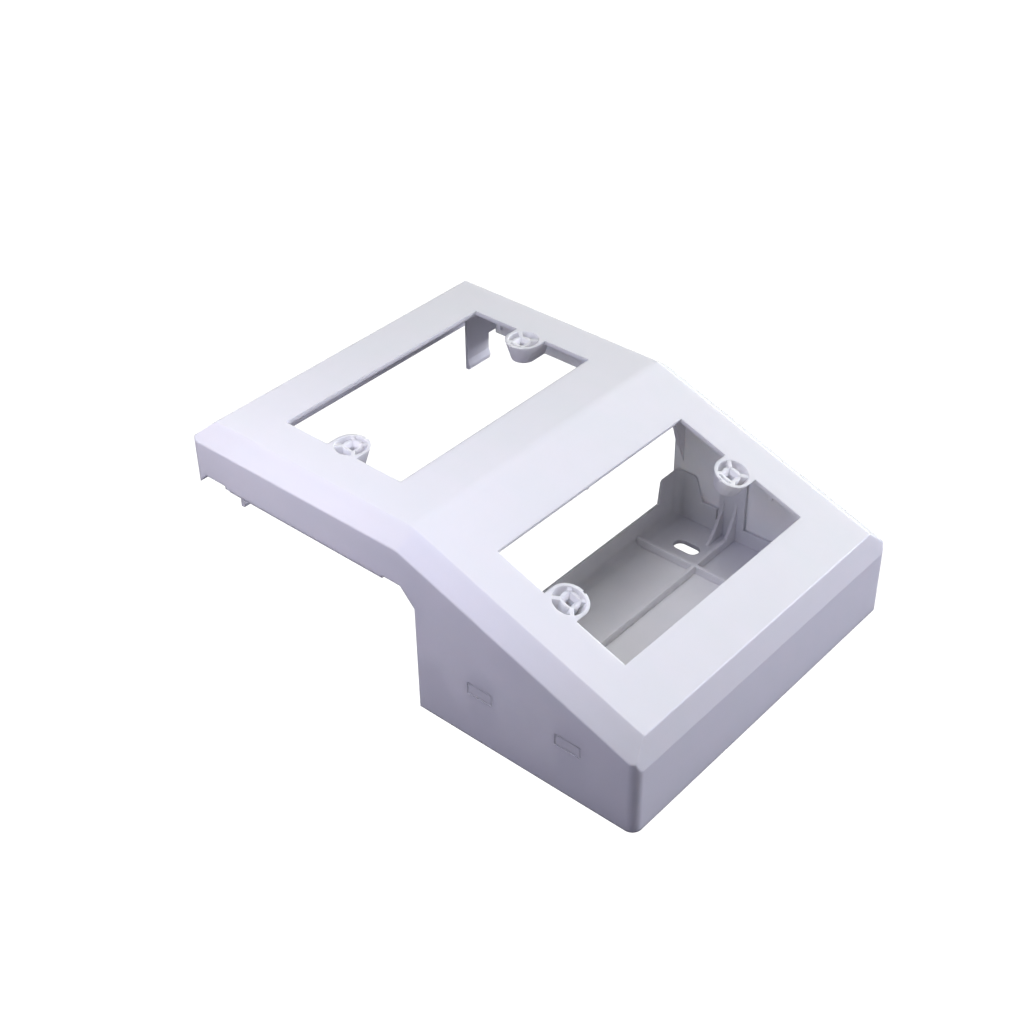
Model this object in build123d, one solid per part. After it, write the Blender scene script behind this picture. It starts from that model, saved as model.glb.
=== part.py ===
from build123d import *
import os
from math import atan, degrees, radians, tan

# Surface outlet box for two twin accessories, straddling a run of wall trunking.
# It lies on its back: the wall is z = 0 and +Z points out of the wall.
# X runs along the twin accessories, Y from the low front wall to the raised end.
# The origin is the middle of the lower box's footprint. All sizes are in millimetres.

# Outer form of the cover
width = 197.0
length = 269.0
lower_depth = 123.8
top_height = 93.8
front_height = 35.1
bend_distance = 132.0
slope_angle = 19.6
bend_radius = 14.0
corner_radius = 5.0
sharpest_corner = 0.5
cover_wall = 3.0
top_wall = 2.6

# Bevelled rim round the top: how far it reaches in over the face, and how far it falls
rim_width = 10.2
rim_drop = 7.8
front_rim_width = 4.6
rear_rim_width = 8.4
rear_rim_drop = 7.8
fold_rounding = 1.1

# Lower edge of the raised part, which rides over the trunking
raised_edge = 66.2
front_edge_step = 0.9
front_edge_length = 11.0
rear_edge_step = 1.6
rear_edge_length = 19.0
tooth_setback = 0.8
step_slant_height = 9.0
step_slant_length = 8.2
rear_wall_edge = 60.0
lap_depth = 2.4
lap_wall = 1.4

# Windows for the accessories and the screw lugs inside them
window_length = 135.0
window_height = 75.4
flat_window_centre = 197.0
slope_window_centre = 69.8
screw_spacing = 120.6
lug_radius = 9.5
lug_foot_radius = 6.4
lug_shift = 1.4
lug_depth = 10.3
lug_hold = 3.6
pocket_radius = 7.9
pocket_foot_radius = 5.4
pocket_depth = 7.4
boss_radius = 4.7
boss_foot_radius = 5.0
boss_recess = 0.6
web_thickness = 2.0
web_recess = 0.3
lead_in_side = 6.3
lead_in_depth = 2.6
screw_hole_side = 3.2
rim_notch_width = 1.3
rim_notch_depth = 0.9
rim_notch_shift = 1.3

# Small parts moulded under the face
nib_width = 2.0
nib_thickness = 1.6
nib_depth = 2.7
flat_nib_offset = 22.0
slope_nib_offset = 20.4
peg_radius = 1.3
peg_tip_radius = 0.8
peg_depth = 7.0
peg_setback = 2.0

# Clip legs that hook over the trunking's rear edge
leg_width = 17.2
leg_outer = 89.8
leg_distance = 246.0
leg_thickness = 1.6
leg_bottom = 51.0
barb_height = 6.0
barb_nose_height = 2.4
barb_reach = 1.1
barb_foot_reach = 0.5

# Webs that stiffen the side walls where the lower box ends
web_depth = 5.8
web_front_foot = 34.8
web_end_foot = 46.6
web_angle = 17.7

# Snap windows in the side walls and the tongues that fill them
snap_length = 14.0
snap_height = 6.2
snap_bottom = 26.4
rear_snap_distance = 86.5
snap_pitch = 49.8
snap_clearance = 0.25
flush_gap = 0.1

# Base tray
fit_clearance = 0.3
base_wall = 1.8
base_draft = 1.5
floor_thickness = 2.5
base_depth = 121.0
low_wall_height = 10.8
sill_height = 16.6
tower_height = 30.4
tower_width = 15.4
tower_length = 12.6
tower_slant = 4.4
tower_rear_slant = 1.8
tower_chamfer = 1.2
tongue_front = 8.8
tongue_rear = 6.6
tongue_height = 41.0
tongue_gap = 1.6
tongue_gap_bottom = 9.8
gusset_front = 4.3
gusset_pitch = 7.8
gusset_thickness = 1.8
gusset_reach = 12.2
gusset_waist = 5.7
gusset_waist_height = 9.9
gusset_top = 26.8
rib_height = 7.0
rib_thickness = 2.0
rib_offset = 59.6
foot_rounding = 5.0
fixing_slot_width = 7.8
fixing_slot_length = 15.0
fixing_slot_offset = 73.4
rear_fixing_distance = 98.0
front_fixing_distance = 20.0

half_width = width / 2
slope = radians(slope_angle)
slope_frame = Pos(0, bend_distance, top_height) * Rot(slope_angle, 0, 0)
flat_window_frame = Pos(0, flat_window_centre, top_height)
slope_window_frame = slope_frame * Pos(0, -slope_window_centre, 0)
window_frames = (flat_window_frame, slope_window_frame)
beyond = 40.0


def face_height(distance):
    """Height of the sloping face at a distance from the front wall."""
    return top_height - (bend_distance - distance) * tan(slope)


def side_profile(points):
    """A closed face in the YZ plane from (distance, height) points."""
    return make_face(Plane.YZ * Polyline(*points, close=True))


def across(profile, reach):
    """The profile run both ways along X."""
    return extrude(profile, amount=reach, dir=(1, 0, 0), both=True)


def crown(inset):
    """Everything under the flat face, the slope and the side rims, moved in by the inset."""
    rim_angle = atan(rim_drop / rim_width)
    fold = half_width - rim_width - inset * tan(rim_angle / 2)
    bend_shift = inset * tan(slope / 2)
    bend_y = bend_distance + bend_shift
    top = top_height - inset
    front = -beyond
    outline = Polyline(
        (front, top - (bend_y - front) * tan(slope)),
        (bend_y, top),
        (length + beyond, top),
        (length + beyond, -2 * beyond),
        (front, -2 * beyond),
        close=True,
    )
    profile = make_face(outline)
    bend_corner = profile.vertices().sort_by_distance((bend_y, top))[0]
    profile = fillet(bend_corner, bend_radius - inset)
    core = extrude(Plane.YZ * profile, amount=fold, both=True)
    strip_length = rim_width + inset
    strip = extrude(Plane.YZ.offset(fold) * profile, amount=strip_length, taper=degrees(rim_angle))
    return core + strip + mirror(strip, about=Plane.YZ)


def trimmed(solid, point, normal):
    """The solid with all that lies beyond a plane cut away."""
    return split(solid, bisect_by=Plane(origin=point, z_dir=normal), keep=Keep.BOTTOM)


def upright_radius(wall):
    """Radius of the upright corners, moved in by a wall thickness."""
    return max(corner_radius - wall, sharpest_corner)


def hood(wall, top):
    """The closed outer form, moved in by a wall thickness and a top thickness."""
    block_height = top_height + beyond
    plan = Pos(0, length / 2) * RectangleRounded(width - 2 * wall, length - 2 * wall, upright_radius(wall))
    solid = crown(top) & (Pos(0, 0, -beyond) * extrude(plan, amount=block_height))
    front_rise = face_height(front_rim_width) - front_height
    rise = Vector(0, -front_rise, front_rim_width).normalized()
    solid = trimmed(solid, Vector(0, 0, front_height) - rise * wall, rise)
    fall = Vector(0, rear_rim_drop, rear_rim_width).normalized()
    return trimmed(solid, Vector(0, length, top_height - rear_rim_drop) - fall * wall, fall)


def below_cover():
    """What is open below the cover: the wall, and the trunking's space behind the lower box."""
    front_edge = raised_edge + front_edge_step
    rear_edge = raised_edge + rear_edge_step
    slant_end = lower_depth + step_slant_length
    rear_start = length - cover_wall - rear_edge_length
    points = [
        (-beyond, -2 * beyond),
        (-beyond, 0),
        (lower_depth, 0),
        (lower_depth, front_edge - step_slant_height),
        (slant_end, front_edge),
        (slant_end + front_edge_length, front_edge),
        (slant_end + front_edge_length + front_edge_step, raised_edge),
        (rear_start, raised_edge),
        (rear_start, rear_edge),
        (length - tooth_setback - (rear_edge - rear_wall_edge), rear_edge),
        (length - tooth_setback, rear_wall_edge),
        (length + beyond, rear_wall_edge),
        (length + beyond, -2 * beyond),
    ]
    return across(side_profile(points), width)


def lug_outline(radius):
    """A half round nose with straight sides that run back under the face. +X is into the window."""
    back = -(window_length - screw_spacing) / 2 - lug_hold
    nose = ThreePointArc((-lug_shift, -radius), (radius - lug_shift, 0), (-lug_shift, radius))
    sides = Polyline((-lug_shift, radius), (back, radius), (back, -radius), (-lug_shift, -radius))
    return make_face(nose + sides)


def lug_body():
    """A screw lug's outer form: flush with the face, and tapering to its foot."""
    head = Plane.XY * lug_outline(lug_radius)
    foot = Plane.XY.offset(-lug_depth) * lug_outline(lug_foot_radius)
    return loft([head, foot])


def lug_pocket():
    """The ring-shaped recess round the screw boss, with its webs and boss left standing."""
    pocket = Pos(-lug_shift, 0, -pocket_depth / 2) * Cone(pocket_foot_radius, pocket_radius, pocket_depth)
    boss_height = lug_depth - boss_recess
    boss = Pos(0, 0, -boss_recess - boss_height / 2) * Cone(boss_foot_radius, boss_radius, boss_height)
    above_boss = Cylinder(boss_radius, 2 * boss_recess)
    web = Pos(0, 0, -web_recess - lug_depth / 2) * Box(4 * pocket_radius, web_thickness, lug_depth)
    webs = (Rot(0, 0, 45) * web + Rot(0, 0, -45) * web) - above_boss
    return pocket - boss - webs


def lug_bore():
    """Square lead-in and square hole for a self-tapping screw, and the small notch in the rim."""
    mouth = Rectangle(lead_in_side, lead_in_side)
    throat = Rectangle(screw_hole_side, screw_hole_side)
    lead_in = loft([Plane.XY.offset(-boss_recess) * mouth, Plane.XY.offset(-lead_in_depth) * throat])
    hole = Pos(0, 0, -lead_in_depth) * extrude(throat, amount=-lug_depth)
    notch = Pos(lug_radius - lug_shift, -rim_notch_shift, 0) * Box(
        2 * rim_notch_depth, rim_notch_width, 2 * rim_notch_depth
    )
    return lead_in + hole + notch


def lug_places():
    """Frames of the four lugs: on the axis of each screw, +X into the window."""
    places = []
    for frame in window_frames:
        for side in (-1, 1):
            turn = 0 if side < 0 else 180
            places.append(frame * Pos(side * screw_spacing / 2, 0, 0) * Rot(0, 0, turn))
    return places


def snap_distances():
    """Distances of the two snap windows' middles from the front wall."""
    return [rear_snap_distance - snap_pitch, rear_snap_distance]


def hanging_plate(inner, outer, bottom):
    """A thin plate across the cover, from the clip legs' distance back, hanging from the face."""
    size = Box(outer - inner, leg_thickness, top_height - bottom)
    return Pos((inner + outer) / 2, leg_distance + leg_thickness / 2, (bottom + top_height) / 2) * size


def clip_leg():
    """The far clip leg, with a barb at its foot, and the wider head that ties it to the side wall."""
    leg_inner = leg_outer - leg_width
    plate = hanging_plate(leg_inner, leg_outer, leg_bottom)
    plate += hanging_plate(leg_inner, half_width - cover_wall / 2, raised_edge)
    barb = side_profile(
        [
            (leg_distance, leg_bottom),
            (leg_distance - barb_foot_reach, leg_bottom),
            (leg_distance - barb_reach, leg_bottom + barb_nose_height),
            (leg_distance, leg_bottom + barb_height),
        ]
    )
    return plate + Pos(leg_inner, 0, 0) * extrude(barb, amount=leg_width, dir=(1, 0, 0))


def end_web():
    """The far web at the end of the lower box. It reaches lower and further in at its front."""
    front = Plane.XZ.offset(web_depth - lower_depth) * web_outline(web_front_foot)
    end = Plane.XZ.offset(-lower_depth) * web_outline(web_end_foot)
    return loft([front, end])


def web_outline(foot):
    """The web's outline: narrow at its foot on the side wall, wider where it meets the face."""
    wall_face = half_width - cover_wall
    wall_middle = half_width - cover_wall / 2
    top = face_height(lower_depth)
    tip = wall_face - (top - foot) * tan(radians(web_angle))
    points = [(wall_middle, foot), (wall_face, foot), (tip, top), (wall_middle, top)]
    return make_face(Polyline(*points, close=True))


def make_cover():
    outer = hood(0, 0)
    rounded = [edge for edge in outer.edges() if is_fold(edge)]
    outer = fillet(rounded, fold_rounding)
    inner = hood(cover_wall, top_wall)
    shell = outer - inner
    shell -= below_cover()
    for frame in window_frames:
        shell -= frame * Box(window_length, window_height, 4 * top_wall)
    for place in lug_places():
        shell += place * lug_body()
    for place in lug_places():
        shell -= place * lug_pocket()
        shell -= place * lug_bore()
    within = hood(cover_wall / 2, top_wall / 2)
    details = clip_leg() + end_web() + lap_strip()
    details += nib(flat_window_frame, flat_nib_offset) + nib(slope_window_frame, -slope_nib_offset)
    details += mirror(details, about=Plane.YZ)
    details += peg()
    shell += details & within
    for distance in snap_distances():
        middle = snap_bottom + snap_height / 2
        shell -= Pos(0, distance, middle) * Box(width + beyond, snap_length, snap_height)
    return shell


def is_fold(edge):
    """True for the folds of the rim and the upright corners, all but the floor's own edges."""
    box = edge.bounding_box()
    if box.max.Z < 1:
        return False
    middle = edge.position_at(0.5)
    across_bend = abs(middle.Y - bend_distance) < bend_radius and box.size.Y < 1
    return not across_bend and abs(middle.Z + beyond) > 1


def lap_strip():
    """The far lap: a thin lip inside the raised part's lower edge, which enters the trunking."""
    start = lower_depth + step_slant_length + front_edge_length + 2 * front_edge_step
    end = length - cover_wall - rear_edge_length - front_edge_step
    strip = Box(lap_wall, end - start, 2 * lap_depth)
    return Pos(half_width - cover_wall + lap_wall / 2, (start + end) / 2, raised_edge) * strip


def nib(frame, offset):
    """A small locating rib that hangs from the far short edge of a window."""
    rib = Box(nib_thickness, nib_width, nib_depth + top_wall)
    place = Pos((window_length + nib_thickness) / 2, offset, -(nib_depth + top_wall) / 2)
    return frame * place * rib


def peg():
    """The tapered peg under the middle of the lower window's rear edge."""
    cone = Cone(peg_tip_radius, peg_radius, peg_depth)
    return slope_window_frame * Pos(0, window_height / 2 + peg_setback, -peg_depth / 2) * cone


def make_base():
    outer_x = half_width - cover_wall - fit_clearance
    inner_x = outer_x - base_wall
    front_y = cover_wall + fit_clearance
    depth = base_depth - front_y
    middle_y = front_y + depth / 2
    plan = Pos(0, middle_y) * RectangleRounded(2 * outer_x, depth, upright_radius(cover_wall))
    hollow = Pos(0, middle_y) * Rectangle(2 * inner_x, depth - 2 * base_wall)
    room = Pos(0, 0, floor_thickness) * extrude(hollow, amount=tower_height, taper=-base_draft)
    rear = room.faces().sort_by(Axis.Y)[-1]
    coves = [edge for edge in rear.edges() if edge.center().Z < tower_height]
    tray = extrude(plan, amount=tower_height) - fillet(coves, foot_rounding)
    tray -= above_sill(outer_x) + above_sides(outer_x)

    # Floor ribs
    rib_lift = (floor_thickness + rib_height) / 2
    rib_size = rib_height - floor_thickness
    for side in (-1, 1):
        tray += Pos(side * rib_offset, middle_y, rib_lift) * Box(rib_thickness, depth - base_wall, rib_size)
    for distance in snap_distances():
        rib_y = distance - gusset_front + rib_thickness / 2
        tray += Pos(0, rib_y, rib_lift) * Box(2 * outer_x - base_wall, rib_thickness, rib_size)

    # Snap tongues with their gussets and hooks
    for distance in snap_distances():
        for side in (-1, 1):
            tray += tongue(side, distance, outer_x, inner_x)

    # The gap that frees the rear tongue from the rest of the wall
    gap_y = rear_snap_distance + tongue_rear + tongue_gap / 2
    gap_height = 2 * sill_height
    tray -= Pos(0, gap_y, tongue_gap_bottom + gap_height / 2) * Box(width, tongue_gap, gap_height)

    # Wall-fixing slots
    slot = SlotOverall(fixing_slot_length, fixing_slot_width, rotation=90)
    for distance in (rear_fixing_distance, front_fixing_distance):
        for side in (-1, 1):
            place = Pos(side * fixing_slot_offset, distance, 0)
            tray -= place * extrude(slot, amount=2 * floor_thickness, both=True)
    return tray


def above_sill(outer_x):
    """What is cut from the rear wall: the cable opening between the two corner towers."""
    foot_x = outer_x - tower_width - tower_rear_slant
    head_x = outer_x - tower_width
    chamfer_x = head_x + tower_chamfer
    outline = Polyline(
        (-foot_x, sill_height),
        (-head_x, tower_height - tower_chamfer),
        (-chamfer_x, tower_height),
        (-chamfer_x, tower_height + beyond),
        (chamfer_x, tower_height + beyond),
        (chamfer_x, tower_height),
        (head_x, tower_height - tower_chamfer),
        (foot_x, sill_height),
        close=True,
    )
    return Pos(0, base_depth + beyond, 0) * extrude(Plane.XZ * make_face(outline), amount=2 * beyond)


def above_sides(outer_x):
    """What is cut from the side walls and the front wall, in front of the corner towers."""
    tower_y = base_depth - tower_length
    low_end = rear_snap_distance + tongue_rear
    points = [
        (-beyond, low_wall_height),
        (low_end, low_wall_height),
        (low_end, sill_height),
        (tower_y - tower_slant, sill_height),
        (tower_y, tower_height - tower_chamfer),
        (tower_y + tower_chamfer, tower_height),
        (tower_y + tower_chamfer, tower_height + beyond),
        (-beyond, tower_height + beyond),
    ]
    return across(side_profile(points), 2 * outer_x)


def tongue(side, distance, outer_x, inner_x):
    """A springy tongue of the side wall, with two curved gussets and the hook that fills a snap window."""
    tongue_length = tongue_front + tongue_rear
    tongue_y = distance + (tongue_rear - tongue_front) / 2
    strip = Box(base_wall, tongue_length, tongue_height)
    strip = Pos((outer_x + inner_x) / 2, tongue_y, tongue_height / 2) * strip
    foot = (inner_x - gusset_reach, floor_thickness)
    head = (inner_x, gusset_top)
    bow = (inner_x - gusset_waist, gusset_waist_height)
    curve = ThreePointArc(foot, bow, head)
    edge = curve + Polyline(head, (outer_x, gusset_top), (outer_x, 0), (foot[0], 0), foot)
    gusset = extrude(Plane.XZ * make_face(edge), amount=-gusset_thickness)
    first = distance - gusset_front
    pair = Pos(0, first, 0) * gusset + Pos(0, first + gusset_pitch, 0) * gusset
    hook_length = snap_length - 2 * snap_clearance
    hook_height = snap_height - 2 * snap_clearance
    hook_end = half_width - flush_gap
    hook = Pos((outer_x + hook_end) / 2, distance, snap_bottom + snap_height / 2) * Box(
        hook_end - outer_x, hook_length, hook_height
    )
    shape = strip + pair + hook
    return shape if side > 0 else mirror(shape, about=Plane.YZ)


def main():
    os.makedirs("parts", exist_ok=True)
    home = Pos(0, -lower_depth / 2, 0)
    export_step(home * make_cover(), "parts/cover.step")
    export_step(home * make_base(), "parts/base.step")


main()
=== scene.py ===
import math

import bmesh
import bpy
from mathutils import Matrix, Vector

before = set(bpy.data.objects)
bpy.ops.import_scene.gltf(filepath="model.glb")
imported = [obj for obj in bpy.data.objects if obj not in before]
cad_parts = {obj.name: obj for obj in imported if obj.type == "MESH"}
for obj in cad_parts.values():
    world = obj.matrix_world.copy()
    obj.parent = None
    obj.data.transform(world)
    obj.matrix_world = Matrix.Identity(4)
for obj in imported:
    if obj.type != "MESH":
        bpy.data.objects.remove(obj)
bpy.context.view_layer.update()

# The camera looks down on the low front corner, with the box's near side on the left.
# It stands at the photograph's angle and distance, and leans a little, as the photograph does.
azimuth = math.radians(-48.69)
elevation = math.radians(36.86)
lean = math.radians(-0.89)
distance = 0.8318
aim = Vector((0.0043, 0.0942, 0.0369))
focal_pixels = 1682.3
image_side = 1024
back = Vector((math.sin(azimuth), -math.cos(azimuth), 0)) * math.cos(elevation)
back.z = math.sin(elevation)
level = Vector((0, 0, 1)).cross(back).normalized()
upright = back.cross(level)
right = level * math.cos(lean) + upright * math.sin(lean)
up = upright * math.cos(lean) - level * math.sin(lean)
camera = bpy.data.objects.new("camera", bpy.data.cameras.new("camera"))
camera.data.sensor_width = 36.0
camera.data.lens = focal_pixels / image_side * camera.data.sensor_width
camera.data.clip_start = 0.01
turn = Matrix((right, up, back)).transposed().to_4x4()
camera.matrix_world = Matrix.Translation(aim + back * distance) @ turn
bpy.context.scene.collection.objects.link(camera)
bpy.context.scene.camera = camera

# The studio floor: to the camera it is a pure white ground without a shadow, as in the
# photograph. To the box it is a dim lilac-grey one, so that the walls grow darker downwards.
floor_reach = 6.0
seen_white = 1.2
floor_mesh = bpy.data.meshes.new("floor")
floor_form = bmesh.new()
bmesh.ops.create_grid(floor_form, x_segments=1, y_segments=1, size=floor_reach)
floor_form.to_mesh(floor_mesh)
floor_form.free()
floor = bpy.data.objects.new("floor", floor_mesh)
bpy.context.scene.collection.objects.link(floor)
floor_finish = bpy.data.materials.new("floor")
floor_finish.use_nodes = True
floor_nodes = floor_finish.node_tree.nodes
floor_links = floor_finish.node_tree.links
floor_nodes.clear()
seen = floor_nodes.new("ShaderNodeLightPath")
bounce = floor_nodes.new("ShaderNodeBsdfDiffuse")
bounce.inputs["Color"].default_value = (0.21, 0.2, 0.25, 1)
white = floor_nodes.new("ShaderNodeEmission")
white.inputs["Strength"].default_value = seen_white
ground = floor_nodes.new("ShaderNodeMixShader")
out = floor_nodes.new("ShaderNodeOutputMaterial")
floor_links.new(seen.outputs["Is Camera Ray"], ground.inputs[0])
floor_links.new(bounce.outputs[0], ground.inputs[1])
floor_links.new(white.outputs[0], ground.inputs[2])
floor_links.new(ground.outputs[0], out.inputs["Surface"])
floor.data.materials.append(floor_finish)

# The surround is the same white to the camera, and lights the box only faintly.
surround_light = 0.06
surround = bpy.data.worlds.new("surround")
surround.use_nodes = True
surround_nodes = surround.node_tree.nodes
backdrop = surround_nodes["Background"]
backdrop.inputs["Color"].default_value = (1, 1, 1, 1)
looked_at = surround_nodes.new("ShaderNodeLightPath")
strength = surround_nodes.new("ShaderNodeMapRange")
strength.inputs["To Min"].default_value = surround_light
strength.inputs["To Max"].default_value = seen_white
surround.node_tree.links.new(looked_at.outputs["Is Camera Ray"], strength.inputs["Value"])
surround.node_tree.links.new(strength.outputs["Result"], backdrop.inputs["Strength"])
bpy.context.scene.world = surround
bpy.context.scene.view_settings.view_transform = "Standard"

# The lamps are square soft boxes round the middle of the box. Two wide ones stand low by the far
# side and one hangs overhead. Two small ones, close by the near side and towards the raised end,
# fade out towards the front. A heading of 0 degrees is the low front end, and 90 the far side.
# Height is in degrees too, reach and side are in metres, and power is in watts.
lit_middle = Vector((0, 0.07, 0.04))


def soft_box(name, heading, height, reach, side, power, tint):
    lamp = bpy.data.objects.new(name, bpy.data.lights.new(name, "AREA"))
    lamp.data.size = side
    lamp.data.energy = power
    lamp.data.color = tint
    swing = Matrix.Rotation(math.radians(heading), 4, "Z")
    tilt = Matrix.Rotation(math.radians(90 - height), 4, "X")
    lamp.matrix_world = Matrix.Translation(lit_middle) @ swing @ tilt @ Matrix.Translation((0, 0, reach))
    bpy.context.scene.collection.objects.link(lamp)


soft_box("far_front_lamp", heading=45, height=15, reach=1.3, side=0.7, power=11.6, tint=(0.79, 0.79, 0.97))
soft_box("far_side_lamp", heading=90, height=15, reach=1.3, side=0.7, power=11.0, tint=(0.88, 0.95, 0.8))
soft_box("overhead_lamp", heading=0, height=90, reach=1.3, side=0.7, power=7.3, tint=(0.98, 0.98, 0.96))
soft_box("near_side_lamp", heading=-90, height=50, reach=0.45, side=0.2, power=0.5, tint=(0.66, 0.66, 1))
soft_box("raised_end_lamp", heading=-120, height=30, reach=0.32, side=0.2, power=0.235, tint=(0.93, 0.89, 1))

# The back box is one injection moulding of white plastic, screwed to the wall. Its walls and
# ribs were cut into the mould by spark, so they are a little more matt than the cover.
back_box_pale = (0.865, 0.855, 0.865)
back_box_deep = (0.835, 0.84, 0.85)
back_box_matt = 0.46
back_box_grain = 0.35


class Wire:
    """A socket of a plastic's material. Arithmetic on it adds Math nodes."""

    def __init__(self, tree, socket=None):
        self.tree = tree
        self.socket = socket

    def node(self, kind, settings, sockets, output=0):
        made = self.tree.nodes.new(kind)
        stops = settings.pop("stops", ())
        for name, value in settings.items():
            setattr(made, name, value)
        for index, (place, shade) in enumerate(stops):
            ramp = made.color_ramp.elements
            stop = ramp[index] if index < len(ramp) else ramp.new(place)
            stop.position = place
            stop.color = (shade, shade, shade, 1)
        for name, value in sockets.items():
            if isinstance(value, Wire):
                self.tree.links.new(value.socket, made.inputs[name])
            else:
                made.inputs[name].default_value = value
        return Wire(self.tree, made.outputs[output] if made.outputs else None)

    def sum_of(self, operation, first, second):
        return self.node("ShaderNodeMath", {"operation": operation}, {0: first, 1: second})

    def __add__(self, other):
        return self.sum_of("ADD", self, other)

    def __sub__(self, other):
        return self.sum_of("SUBTRACT", self, other)

    def __rsub__(self, other):
        return self.sum_of("SUBTRACT", other, self)

    def __mul__(self, other):
        return self.sum_of("MULTIPLY", self, other)

    __radd__ = __add__
    __rmul__ = __mul__


def plastic(name, pale, deep, matt, grain):
    """White moulded plastic: faint flow marks, handling smears in the gloss, and a fine skin."""
    flow_share = 0.8
    noise_middle = 0.5
    smear_range = 0.16
    edge_round = 0.0005
    swell_depth = 0.0006
    skin_depth = 0.00012
    light_depth = 0.0025
    material = bpy.data.materials.new(name)
    material.use_nodes = True
    tree = material.node_tree
    tree.nodes.clear()
    start = Wire(tree)
    place = start.node("ShaderNodeTexCoord", {}, {}, "Object")

    # The flow marks are drawn out from the low end towards the raised one.
    drawn_out = start.node("ShaderNodeMapping", {}, {"Vector": place, "Scale": (14, 5, 14)})
    flow = start.node("ShaderNodeTexNoise", {}, {"Vector": drawn_out, "Detail": 3.0, "Roughness": 0.45})
    flow = start.node("ShaderNodeValToRGB", {"stops": ((0.35, 0.0), (0.7, 1.0))}, {"Fac": flow})
    smudge = {"Vector": place, "Scale": 38.0, "Detail": 5.0, "Roughness": 0.6}
    smear = start.node("ShaderNodeTexNoise", {}, smudge)
    skin = start.node("ShaderNodeTexNoise", {}, {"Vector": place, "Scale": 1500.0, "Detail": 2.0})
    swell = start.node("ShaderNodeTexNoise", {}, {"Vector": place, "Scale": 60.0, "Detail": 1.0})
    edge = start.node("ShaderNodeBevel", {"samples": 4}, {"Radius": edge_round})

    # Sockets 6 and 7 of a colour mix are its two colours, and its third output is the mixed one.
    colour = start.node(
        "ShaderNodeMix",
        {"data_type": "RGBA"},
        {"Factor": flow * flow_share, 6: (*pale, 1), 7: (*deep, 1)},
        2,
    )
    roughness = matt + (smear - noise_middle) * smear_range
    wave = start.node(
        "ShaderNodeBump",
        {},
        {"Strength": 0.12, "Distance": swell_depth, "Height": swell, "Normal": edge},
    )
    relief = start.node(
        "ShaderNodeBump",
        {},
        {"Strength": grain, "Distance": skin_depth, "Height": skin, "Normal": wave},
    )
    shader = start.node(
        "ShaderNodeBsdfPrincipled",
        {},
        {
            "Base Color": colour,
            "Roughness": roughness,
            "Normal": relief,
            "IOR": 1.5,
            "Coat Weight": 0.12,
            "Coat Roughness": 0.18,
            "Subsurface Weight": 1.0,
            "Subsurface Radius": (1.0, 0.97, 0.95),
            "Subsurface Scale": light_depth,
        },
    )
    start.node("ShaderNodeOutputMaterial", {}, {"Surface": shader})
    return material


def dress(node, material):
    """Gives a moulding its plastic in every material slot that it has."""
    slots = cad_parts[node].data.materials
    for index in range(len(slots)):
        slots[index] = material
    if not slots:
        slots.append(material)


dress("base", plastic("back_box_plastic", back_box_pale, back_box_deep, back_box_matt, back_box_grain))

# The cover is one injection moulding of the same plastic, from a polished mould. It carries
# both accessory windows and their screw lugs, and snaps over the back box's tongues.
cover_pale = (0.885, 0.875, 0.895)
cover_deep = (0.862, 0.872, 0.882)
cover_matt = 0.34
cover_grain = 0.18
dress("cover", plastic("cover_plastic", cover_pale, cover_deep, cover_matt, cover_grain))
